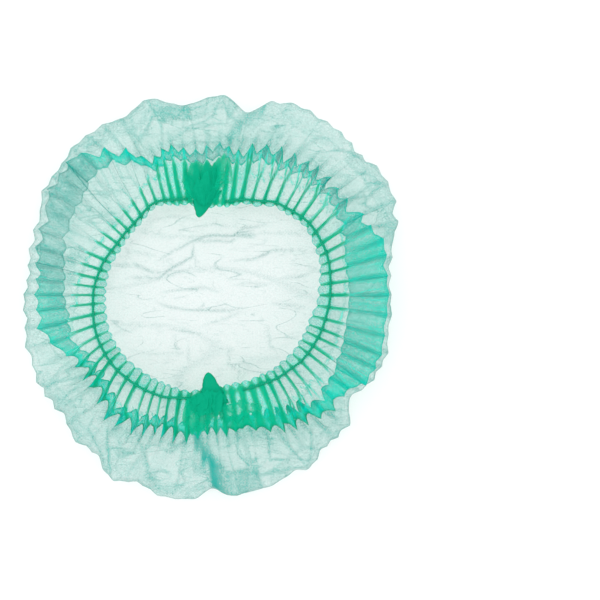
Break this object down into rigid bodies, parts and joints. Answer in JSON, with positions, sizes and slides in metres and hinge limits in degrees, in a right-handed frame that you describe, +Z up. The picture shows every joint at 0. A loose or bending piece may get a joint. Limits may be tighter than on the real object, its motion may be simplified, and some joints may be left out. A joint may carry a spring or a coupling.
{
  "type": "disposable bouffant cap",
  "caption": "Disposable bouffant hair cap of thin see-through cloth, spread open with its pleated elastic mouth upwards.",
  "frame": {"origin": "middle of the cap's bounding box in plan, on the surface that it lies on", "axes": "+Z up out of the mouth; +Y towards the rear end gather (the top of the picture); +X to the right of the picture"},
  "size_m": [0.2992, 0.3224, 0.0426],
  "materials": {
    "cap_cloth": "thin see-through spunbond nonwoven, pale green",
    "bunched_cloth": "the same cloth bunched in many layers, deep green",
    "elastic_thread": "covered elastic thread, green"
  },
  "bodies": {
    "root": {"cap_body": "cap_cloth", "end_gather_rear": "bunched_cloth", "end_gather_front": "bunched_cloth", "elastic_left": "elastic_thread", "elastic_right": "elastic_thread"}
  },
  "joints": []
}
